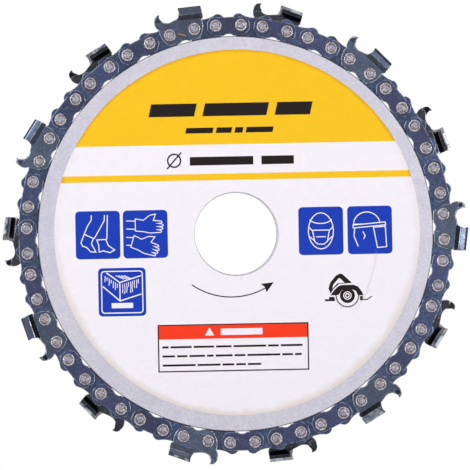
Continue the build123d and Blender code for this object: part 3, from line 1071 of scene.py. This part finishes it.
def cutter(plate_highlight=0.0, ridge_highlight=0.1):
    """A side link whose sheet steps outward and folds over the chain, with its raker in front."""
    sheet = CutterSheet()
    lip = Vector((gullet_lip_x, gullet_floor + gullet_lip_rise))
    behind = [sheet.unrolled(p) for p in divided(foot_edge(), 0.6)] + crown_edge(sheet)
    filed = filed_edge(sheet, lip)
    outline = behind + filed + [sheet.unrolled(p) for p in raker_edge(lip)]
    filed_marks = set(range(len(behind), len(behind) + len(filed) + 1))
    loops = [(outline, stamped_edge(0.17, 0.05, side_outer - side_inner), filed_marks)]
    for x in (-side_spacing / 2, side_spacing / 2):
        round_hole = circle((x, 0), side_hole_radius, 20, True)
        loops.append(([sheet.unrolled(p) for p in round_hole], plain_hole(), ()))
    light_and_shade = points_on_bends(sheet, outline, plate_highlight, ridge_highlight)
    return stamped_sheet(loops, sheet.place, light_and_shade, inner_face_shade=0.95)


def chain_rivet(seed):
    """A rivet with a stepped shank, its ends hammered into flat heads with a rolled rim."""
    rise = head_face - side_outer
    # Rows: radius, height, highlight, darkening: a painted highlight on the rim, darker in the groove,
    # painted shade round the head's foot
    head = [
        (0.0, head_face, 0.0, 0.0),
        (0.3, head_face - 0.02, 0.3, 0.0),
        (0.6, head_face - 0.01, 0.15, 0.0),
        (0.9, head_face - 0.04, 0.25, 0.1),
        (1.1, head_face - 0.13, 0.0, 0.75),
        (1.24, head_face - 0.13, 0.1, 0.65),
        (1.38, head_face - 0.05, 0.8, 0.0),
        (1.52, head_face - 0.1, 1.0, 0.0),
        (1.65, side_outer + 0.5 * rise, 1.0, 0.0),
        (head_radius, side_outer + 0.22 * rise, 0.4, 0.3),
        (head_radius, side_outer, 0.0, 1.0),
        (hub_radius, side_outer, 0.0, 1.0),
        (hub_radius, side_inner, 0.0, 1.0),
        (barrel_radius, side_inner, 0.0, 0.5),
    ]
    tail = [(radius, -height, bright, darkening) for radius, height, bright, darkening in reversed(head)]
    return turned(head + tail, 30, 0.07, seed)


def make_chain():
    """Every link on the rim, and the rivets that join them."""
    draw = random.Random(11)
    strap = tie_strap()
    for name, angles, back in (
        ("tie_straps_front_plain", stations[1::2], False),
        ("tie_straps_rear_plain", stations[1::2], True),
        ("tie_straps_front_paired", stations[2::4], False),
        ("tie_straps_rear_paired", stations[0::4], True),
    ):
        straps = Piece()
        for angle in angles:
            straps.add(strap, on_rim(angle, side_link_radius, back), draw.uniform(-1, 1))
        straps.make("stamped_" + name, "chain", [blued_strap], [name])
    link = drive_link()
    for number, angle in enumerate(stations, start=1):
        drive = Piece()
        drive.add(link, on_rim(angle - step / 2, drive_link_radius), draw.uniform(-1, 1))
        name = f"drive_link_{number:02d}"
        drive.make("stamped_" + name, "chain", [blued_drive], [name])
    plain_tooth = cutter()
    # Two front teeth carry painted highlights on their plate and crown ridge
    highlit_teeth = {"cutter_front_3": cutter(0.45, 0.95), "cutter_front_4": cutter(0.15, 0.95)}
    for side, angles, back in (("front", stations[0::4], False), ("rear", stations[2::4], True)):
        for number, angle in enumerate(angles, start=1):
            bent = Piece()
            name = f"cutter_{side}_{number}"
            tooth = highlit_teeth.get(name, plain_tooth)
            bent.add(tooth, on_rim(angle, side_link_radius, back), draw.uniform(-1, 1))
            bent.make("bent_" + name, "chain", [blued_cutter, filed_steel], [name])
    rivets = Piece()
    for number, angle in enumerate(stations):
        for way in (-1, 1):
            seed = 2 * number + (way > 0)
            placed = on_rim(angle + way * pin_swing, pin_circle_radius)
            spin = Matrix.Rotation(draw.uniform(0, math.tau), 4, "Z")
            rivets.add(chain_rivet(seed), placed @ spin, draw.uniform(-1, 1))
    rivets.make("peened_chain_rivets", "chain", [rivet_steel], ["chain_rivets"], 60)


# Disc

def rivet_spots():
    """Where the flush rivets go through the plates."""
    angles = [math.pi / 2 + math.tau * k / plate_rivet_count for k in range(plate_rivet_count)]
    return [Vector((plate_rivet_circle * math.cos(a), plate_rivet_circle * math.sin(a))) for a in angles]


def plate():
    """A stamped steel ring whose rim is rolled on its outer edge."""
    rim = circle((0, 0), plate_radius, 360)
    bore = circle((0, 0), bore_radius, 180, True)
    thickness = plate_outer - plate_inner
    loops = [(rim, stamped_edge(0.2, 0.12, thickness), ()), (bore, stamped_edge(0.1, 0.02, thickness), ())]
    for spot in rivet_spots():
        loops.append((circle(spot, plate_rivet_hole, 48, True), stamped_edge(0.05, 0.02, thickness), ()))
    return flat_sheet(loops, plate_outer, plate_inner)


def plate_rivet(seed):
    """A flush rivet, its heads pressed level with the plates."""
    # Rows: radius, height, highlight, darkening: a painted highlight round the rim, painted shade in the gap
    # round the head
    head = [
        (0.0, plate_outer - 0.03, 0.0, 0.0),
        (1.1, plate_outer - 0.02, 0.2, 0.0),
        (2.3, plate_outer - 0.01, 0.2, 0.0),
        (2.95, plate_outer - 0.01, 0.6, 0.0),
        (3.12, plate_outer - 0.05, 0.8, 0.2),
        (plate_rivet_head, plate_outer - 0.14, 0.0, 1.0),
        (plate_rivet_head, plate_outer - plate_rivet_head_depth, 0.0, 1.0),
        (plate_rivet_shank, plate_outer - plate_rivet_head_depth, 0.0, 1.0),
    ]
    tail = [(radius, -height, bright, darkening) for radius, height, bright, darkening in reversed(head)]
    return turned(head + tail, 48, 0.02, seed)


def make_disc():
    """The two plates, the spacer between them and the rivets that hold them."""
    ring = plate()
    for side, back in (("front", False), ("rear", True)):
        stamped = Piece()
        stamped.add(ring, drawn_flat(back))
        stamped.make(f"stamped_{side}_plate", "disc", [satin_plate], [f"{side}_plate"])
    rivets = Piece()
    for number, spot in enumerate(rivet_spots()):
        rivets.add(plate_rivet(number), drawn_flat() @ Matrix.Translation((spot.x, spot.y, 0)))
    rivets.make("flush_plate_rivets", "disc", [plate_rivet_steel], ["plate_rivets"])
    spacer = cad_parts["spacer_disc"].data
    spacer.materials.clear()
    spacer.materials.append(spacer_steel)


# Label: what is printed is drawn level, and the print is stuck on turned by print_tilt

print_tilt = math.radians(1.1)
WHITE, YELLOW, BLUE, RED, BLACK = range(5)
line_width = 0.27


def bar(x0, x1, z0, z1, slant=0.0):
    """A rectangle, leaning over like italic print by the slant."""
    lean = slant * (z1 - z0)
    return [Vector((x0, z0)), Vector((x1, z0)), Vector((x1 + lean, z1)), Vector((x0 + lean, z1))]


def rounded_box(x, z, width, height, radius):
    """A rectangle with round corners about a middle point."""
    w = width / 2
    h = height / 2
    corners = ((-w, -h), (w, -h), (w, h), (-w, h))
    return rounded([(x + cx, z + cz, radius) for cx, cz in corners], 4)


def stroke(points, width=line_width, closed=False):
    """The outline of a line drawn with a pen. A closed line gives an outer and an inner outline."""
    line = [Vector(p) for p in points]
    if closed:
        if sum((b - a).cross(a) for a, b in zip(line, line[1:] + line[:1])) > 0:
            line.reverse()
        return inset(line, [-width / 2] * len(line)), inset(line, [width / 2] * len(line))
    sides = []
    for index, here in enumerate(line):
        before = (here - line[index - 1]).normalized() if index else None
        after = (line[index + 1] - here).normalized() if index + 1 < len(line) else None
        before = before or after
        after = after or before
        along = (before + after).normalized()
        left = Vector((-along.y, along.x)) / max(0.5, along.dot(before))
        sides.append((here + left * width / 2, here - left * width / 2))
    return [left for left, _ in sides] + [right for _, right in reversed(sides)]


class Print:
    """The shapes of the print in the order that they are laid down."""

    def __init__(self):
        self.shapes = []

    def shape(self, outline, ink):
        c = math.cos(print_tilt)
        s = math.sin(print_tilt)
        self.shapes.append(([Vector((x * c - z * s, x * s + z * c)) for x, z in outline], ink))

    def line(self, points, ink, width=line_width):
        self.shape(stroke(points, width), ink)

    def loop(self, points, ink, inside, width=line_width):
        outer, inner = stroke(points, width, True)
        self.shape(outer, ink)
        self.shape(inner, inside)

    def words(self, x, z, lengths, gap, height, ink, slant=0.0):
        """Plain bars where a line of words would be."""
        for length in lengths:
            self.shape(bar(x, x + length, z, z + height, slant), ink)
            x += length + gap


def moved(points, x, z):
    """Points of a small drawing set about (x, z)."""
    return [(x + px, z + pz) for px, pz in points]


def draw_boots(print_, x, z):
    """Two work boots under trouser legs, one stepping off its heel."""
    stepping = [
        (-3.7, 0.3), (-4.6, -2.0), (-4.2, -2.9), (-3.1, -3.3), (-2.0, -4.5), (-0.6, -4.6), (-1.8, -2.3),
        (-1.2, -0.9),
    ]
    standing = [
        (-0.3, -1.3), (0.2, -2.8), (0.3, -4.6), (1.4, -4.3), (3.2, -4.8), (4.5, -4.1), (2.8, -2.9),
        (2.1, -1.2),
    ]
    for boot in (stepping, standing):
        print_.loop(moved(boot, x, z), WHITE, BLUE)
    for leg in (
        [(-1.7, 5.4), (-1.7, 4.1), (-2.8, 2.4), (-3.7, 0.3)],
        [(1.9, 5.4), (1.8, 3.9), (0.5, 1.6), (-1.0, -0.9)],
        [(2.7, 5.4), (2.4, -1.2)],
    ):
        print_.line(moved(leg, x, z), WHITE)


def glove_outline():
    """A glove lying on its side: cuff, thumb and four fingers."""
    outline = [(-3.0, -1.6), (-3.0, 1.7), (-0.8, 1.3), (0.9, 2.6), (2.5, 2.9), (1.9, 1.2)]
    for k in range(4):
        z = 1.0 - 0.84 * k
        length = 4.7 - 0.35 * abs(k - 1.3)
        outline += [(length - 0.25, z), (length, z - 0.28), (length - 0.25, z - 0.56), (2.7, z - 0.62)]
    outline += [(0.9, -2.2), (-0.8, -1.8)]
    return outline


def draw_gloves(print_, x, z):
    """A pair of gloves one over the other, with the sleeves behind them."""
    for dx, dz, turn in ((0.3, 2.5, 0.0), (-0.7, -2.8, -0.3)):
        way = Vector((math.cos(turn), math.sin(turn)))
        points = [(px * way.x - pz * way.y, px * way.y + pz * way.x) for px, pz in glove_outline()]
        print_.loop(moved(points, x + dx, z + dz), WHITE, BLUE, 0.24)
        for side in (-1.1, 1.1):
            cuff = Vector((dx, dz)) - 3.0 * way + Vector((-way.y, way.x)) * side
            print_.line(moved([cuff, (-5.2, cuff.y + 0.1)], x, z), WHITE, 0.24)


def ellipse(x, z, width, height, first, last, count):
    """Points along part of an ellipse, between two angles in degrees."""
    angles = [math.radians(first + (last - first) * k / count) for k in range(count + 1)]
    return [(x + width * math.cos(a), z + height * math.sin(a)) for a in angles]


def draw_dust_mask(print_, x, z):
    """A plain head shape that wears a dust mask."""
    print_.loop(ellipse(x, z, 3.4, 4.9, 0, 342, 19), WHITE, BLUE)
    print_.line(ellipse(x, z + 3.6, 3.2, 1.6, 200, 340, 8), WHITE)
    mask = [(-2.3, 0.2), (-1.7, -2.9), (-0.8, -3.6), (0.8, -3.6), (1.7, -2.9), (2.3, 0.2)]
    print_.loop(moved(mask, x, z), WHITE, BLUE)
    for way in (-1, 1):
        print_.line([(x + way * 2.35, z + 0.1), (x + way * 3.35, z + 1.2)], WHITE)
        print_.line([(x + way * 1.85, z - 2.6), (x + way * 3.1, z - 1.5)], WHITE)
    print_.line([(x - 1.3, z - 1.6), (x + 1.3, z - 1.6)], WHITE)


def draw_face_shield(print_, x, z):
    """A helmet shell with a clear visor hung from its brim."""
    shell = ellipse(x - 0.8, z + 1.5, 3.6, 3.4, 2, 178, 12)
    print_.loop(shell, WHITE, BLUE)
    brim = [(-4.5, 0.6), (4.3, 1.3), (4.2, 2.1), (-4.5, 1.4)]
    visor = [(1.0, 0.7), (4.2, 0.95), (4.5, -4.6), (2.0, -4.8)]
    for outline in (brim, visor):
        print_.loop(moved(outline, x, z), WHITE, BLUE)
    nape = [(-4.1, 0.4), (-4.3, -1.6), (-3.2, -4.4)]
    strap = [(-1.9, -0.4), (-1.3, -1.5), (-1.7, -2.4)]
    for line in (nape, strap):
        print_.line(moved(line, x, z), WHITE)


def draw_wood_sign(print_, x, z):
    """A blue sign with a white border: a block of wood over a plain bar."""
    print_.shape(rounded_box(x, z, 12.9, 13.1, 1.1), BLUE)
    print_.shape(rounded_box(x, z, 11.4, 11.6, 0.9), WHITE)
    print_.shape(rounded_box(x, z, 10.8, 11.0, 0.65), BLUE)
    ridge = [(5.2, 4.4), (-0.6, 2.6), (-4.2, 5.3)]
    foot = [(5.2, -0.6), (-0.6, -2.4), (-5.2, 1.6)]
    for line in (ridge, foot, [(-0.6, 2.4), (-0.6, -2.2)]):
        print_.line(moved(line, x, z), WHITE, 0.32)
    draw = random.Random(5)
    for k in range(9):
        start = x + 0.1 + 0.55 * k
        base = z + 2.1 + 0.31 * (start - x)
        length = draw.uniform(1.2, 3.2)
        wave = draw.uniform(-0.2, 0.2)
        print_.line([(start, base), (start + wave, base - length / 2), (start, base - length)], WHITE, 0.2)
    for k in range(7):
        start = x - 1.2 - 0.55 * k
        base = z + 2.5 + 0.3564 * k
        length = draw.uniform(0.7, 2.2)
        print_.line([(start, base - 0.2), (start - 0.12, base - 0.2 - length)], WHITE, 0.22)
    for k in range(4):
        lift = 0.9 + 0.75 * k
        print_.line([(x - 2.6 + lift, z + 4.5), (x - 0.4 + lift, z + 3.5)], WHITE, 0.2)
    print_.shape(bar(x - 2.9, x + 2.9, z - 4.35, z - 2.95), WHITE)


def draw_turning_arrow(print_):
    """The arrow for the way that the disc turns."""
    start = Vector((-12.1, -13.6))
    print_.line([start] + arc_through(start, (-0.8, -17.1), (7.9, -14.8), 18), BLACK, 0.32)
    print_.shape([Vector(p) for p in ((10.1, -13.3), (6.6, -13.7), (7.7, -14.6), (8.1, -16.0))][::-1], BLACK)


def draw_saw(print_, x, z):
    """A hand-held circular saw: blade, guard, handle and base."""
    teeth = []
    for k in range(48):
        angle = math.radians(165 + 210 * k / 47)
        reach = 3.2 if k % 2 else 2.9
        teeth.append((x + reach * math.cos(angle), z + reach * math.sin(angle)))
    print_.line(teeth, BLACK, 0.2)
    guard = [
        (4.4, 0.0), (2.9, 0.0), (2.3, 1.2), (1.4, 1.6), (-1.4, 1.6), (-2.4, 0.2), (-4.6, 0.1), (-3.6, 1.5),
        (-2.4, 2.6), (-1.4, 2.9), (1.7, 2.9), (2.9, 2.4), (3.8, 1.2),
    ]
    handle = [
        (-4.5, 0.5), (-5.1, 2.0), (-4.6, 3.6), (-3.1, 5.4), (-2.0, 6.0), (-1.2, 5.8), (1.3, 3.4),
        (-2.2, 3.2), (-3.8, 1.8),
    ]
    window = [(-4.1, 1.9), (-3.7, 3.1), (-2.3, 4.7), (-1.9, 4.7), (-0.7, 3.5), (-2.6, 3.4)]
    for outline, ink in ((guard, BLACK), (handle, BLACK), (window, WHITE)):
        print_.shape([Vector(p) for p in moved(outline, x, z)][::-1], ink)
    for radius, ink in ((2.05, BLACK), (1.15, WHITE), (0.9, BLACK), (0.65, WHITE), (0.35, BLACK)):
        print_.shape(circle((x, z), radius, 20), ink)
    print_.shape(bar(x - 6.1, x - 3.4, z - 1.45, z - 0.9), BLACK)
    print_.shape(bar(x - 5.0, x - 3.5, z - 0.95, z - 0.3), BLACK)
    print_.shape(bar(x + 3.4, x + 4.2, z - 1.4, z - 0.2), BLACK)
    toe = [(x + 3.5, z - 1.2), (x + 5.4, z - 1.15), (x + 6.6, z - 0.3)]
    print_.line(toe, BLACK, 0.3)


def draw_panel(print_):
    """A framed panel with a red head. Bars stand where the words would be."""
    print_.shape(bar(-21.6, 19.3, -37.2, -24.3), BLACK)
    print_.shape(bar(-21.25, 18.95, -36.85, -28.3), WHITE)
    print_.shape(bar(-21.25, 18.95, -28.3, -24.6), RED)
    triangle = [Vector((-8.8, -27.4)), Vector((-6.3, -27.4)), Vector((-7.55, -25.2))]
    print_.shape(triangle, WHITE)
    print_.words(-4.5, -27.35, [11.3], 0, 1.75, WHITE)
    lines = (
        (1.7, 5.7, 5.5, 4.2, 8.8, 2.9, 5.9),
        (3.4, 2.8, 4.2, 1.8, 4.6, 2.9, 8.9, 2.9, 1.8),
        (8.9, 6.2, 3.2, 2.6, 3.6),
    )
    for number, lengths in enumerate(lines):
        print_.words(-20.4, -30.7 - 2.46 * number, lengths, 0.55, 0.55, BLACK)


def label_print():
    """Everything printed on the label, from the ground up."""
    sheet = Print()
    sheet.shape(bar(-60, 60, 24.3, 60), YELLOW)
    sheet.shape(bar(-60, 60, 14.62, 16.38), YELLOW)
    sheet.words(-23.0, 32.0, [12.4, 17.4, 9.6], 2.2, 3.5, BLACK, 0.23)
    sheet.words(-13.1, 27.4, [7.4, 4.2, 2.2, 7.3], 0.85, 1.5, BLACK, 0.23)
    sheet.loop(circle((-16.25, 20.1), 1.75, 28), BLACK, WHITE, 0.42)
    sheet.line([(-18.2, 17.9), (-14.3, 22.3)], BLACK, 0.4)
    sheet.words(-12.0, 18.7, [17.2, 8.8], 2.2, 2.3, BLACK)
    signs = ((-37.3, draw_boots), (-24.4, draw_gloves), (23.15, draw_dust_mask), (36.4, draw_face_shield))
    for x, draw_on in signs:
        sheet.shape(rounded_box(x, 0.36, 12.1, 13.0, 1.1), BLUE)
        draw_on(sheet, x, 0.36)
    draw_wood_sign(sheet, -31.0, -15.2)
    draw_turning_arrow(sheet)
    draw_saw(sheet, 30.0, -17.3)
    draw_panel(sheet)
    return sheet.shapes


def label_lift(x, z):
    """How far the film stands off its level: faint waves, and more near its outer edge."""
    reach = math.hypot(x - label_centre.x, z - label_centre.y)
    wave = noise.noise(Vector((x * 0.09, z * 0.09, 4.2))) * 0.02
    edge = max(0.0, 1 - (label_radius - reach) / 3.0)
    pucker = max(0.0, noise.noise(Vector((x * 0.22, z * 0.22, 9.7)))) * 0.07 * edge
    return wave + pucker


def waving_grid():
    """Points over the whole film that let it wave between the printed outlines."""
    pitch = 1.8
    row_gap = 1.80024
    span = math.ceil(label_radius / pitch)
    spots = []
    for row in range(-span, span + 1):
        for column in range(-span, span + 1):
            spot = label_centre + Vector((pitch * (column + 0.5 * (row % 2)), row_gap * row))
            clear_of_hole = (spot - label_hole).length > label_hole_radius + 0.7
            if clear_of_hole and (spot - label_centre).length < label_radius - 0.7:
                spots.append(spot)
    return spots


def ink_at(spot, shapes):
    """The ink laid down last over a spot. Each shape is (outline, ink, lowest and highest corner)."""
    ink = WHITE
    for outline, colour, low, high in shapes:
        if low.x < spot.x < high.x and low.y < spot.y < high.y and winding(spot, outline):
            ink = colour
    return ink


def boxed(outline):
    """Lowest and highest corner of the box round an outline."""
    xs = [p.x for p in outline]
    zs = [p.y for p in outline]
    return Vector((min(xs), min(zs))), Vector((max(xs), max(zs)))


def film_skin(triangles, spots, inks):
    """The film's front and back from triangles of (x, z) spots and their inks, closed round its edges."""
    film_piece = Piece()
    known = {}
    border = {}

    def corner(index, front):
        if (index, front) not in known:
            x, z = spots[index]
            level = label_face + label_lift(x, z) if front else plate_outer
            known[index, front] = film_piece.point((x, z, level))
        return known[index, front]

    for triangle, ink in zip(triangles, inks):
        film_piece.face([corner(k, True) for k in triangle], ink)
        film_piece.face([corner(k, False) for k in reversed(triangle)], WHITE)
        for a, b in zip(triangle, triangle[1:] + triangle[:1]):
            if (b, a) in border:
                del border[b, a]
            else:
                border[a, b] = True
    for a, b in border:
        film_piece.face((known[a, True], known[a, False], known[b, False], known[b, True]), WHITE)
    return film_piece


def make_label():
    """The printed film: one skin, divided along the outline of everything printed."""
    shapes = [(outline, ink, *boxed(outline)) for outline, ink in label_print()]
    outer = circle(label_centre, label_radius, 300)
    hole = circle(label_hole, label_hole_radius, 150)
    points, edges = joined([outer, hole] + [shape[0] for shape in shapes])
    spots, _, faces, _, _, _ = delaunay_2d_cdt(points + waving_grid(), edges, [], 0, 1e-5)
    triangles = []
    inks = []
    for triangle in faces:
        centre = sum((spots[k] for k in triangle), Vector((0, 0))) / 3
        if (centre - label_centre).length <= label_radius and not winding(centre, hole):
            triangles.append(triangle)
            inks.append(ink_at(centre, shapes))
    sheet = Piece()
    sheet.add(film_skin(triangles, spots, inks), drawn_flat())
    materials = [paper, yellow_ink, blue_ink, red_ink, black_ink]
    sheet.make("printed_film_label", "disc", materials, ["label"], 50)


# Studio

def make_floor():
    """A plain pale floor under the disc."""
    half = 1.2
    mesh = bpy.data.meshes.new("pale_floor")
    level = floor_level - 0.0001
    corners = [(x, y, level) for x, y in ((-half, -half), (half, -half), (half, half), (-half, half))]
    mesh.from_pydata(corners, [], [(0, 1, 2, 3)])
    floor = bpy.data.objects.new("pale_floor", mesh)
    bpy.context.scene.collection.objects.link(floor)
    material, tree, shader, place = new_material("pale_floor", Metallic=0.0, Roughness=0.7)
    colour = blend(tree, clouds(tree, place, 60.0), (0.86, 0.86, 0.87, 1), (0.9, 0.9, 0.905, 1))
    tree.links.new(colour, shader["Base Color"])
    mesh.materials.append(material)


def soft_light(name, place, aim, size, power):
    """A soft box that lights the disc and isn't seen."""
    lamp = bpy.data.lights.new(name, "AREA")
    lamp.shape = "RECTANGLE"
    lamp.size = size[0]
    lamp.size_y = size[1]
    lamp.energy = power
    light = bpy.data.objects.new(name, lamp)
    light.location = place
    light.rotation_euler = (Vector(aim) - Vector(place)).to_track_quat("-Z", "Y").to_euler()
    light.visible_camera = False
    bpy.context.scene.collection.objects.link(light)


def make_studio():
    """A room bright in front and behind and dim to the sides, with soft boxes in front and above."""
    world = bpy.data.worlds.new("white_studio")
    bpy.context.scene.world = world
    world.use_nodes = True
    tree = world.node_tree
    tree.nodes.clear()
    way = add(tree, "ShaderNodeTexCoord").outputs["Generated"]
    parts = add(tree, "ShaderNodeSeparateXYZ", {0: way}).outputs
    front = between(tree, maths(tree, "MULTIPLY", parts["Y"], -1.0), 0.62, 0.93, 0.1, 0.68)
    behind = between(tree, parts["Y"], 0.25, 0.75, 0.0, 1.1)
    light = maths(tree, "ADD", front, behind)
    seen = add(tree, "ShaderNodeLightPath").outputs["Is Camera Ray"]
    strength = add(tree, "ShaderNodeMix", {0: seen, 2: light, 3: 1.0}, data_type="FLOAT").outputs[0]
    back = add(tree, "ShaderNodeBackground", {"Color": (1, 1, 1, 1), "Strength": strength})
    end = add(tree, "ShaderNodeOutputWorld")
    tree.links.new(back.outputs[0], end.inputs["Surface"])
    soft_light("left_soft_box", (-0.62, -0.82, 0.26), (0, 0, 0), (0.5, 0.5), 4.2)
    soft_light("right_soft_box", (0.44, -0.85, 0.0), (0, 0, 0), (0.4, 0.3), 2.9)
    soft_light("top_soft_box", (0.05, -0.25, 0.6), (0.05, -0.1, 0), (0.6, 0.4), 0.6)
    bpy.context.scene.view_settings.view_transform = "Standard"


def make_camera():
    """Square on to the front, from far off."""
    lens = bpy.data.cameras.new("camera")
    lens.type = "ORTHO"
    lens.ortho_scale = 0.12734
    camera = bpy.data.objects.new("camera", lens)
    camera.location = (-0.000135, -0.6, -0.000325)
    camera.rotation_euler = (math.pi / 2, 0, 0)
    bpy.context.scene.collection.objects.link(camera)
    bpy.context.scene.camera = camera


make_camera()
make_studio()
make_floor()
make_chain()
make_disc()
make_label()
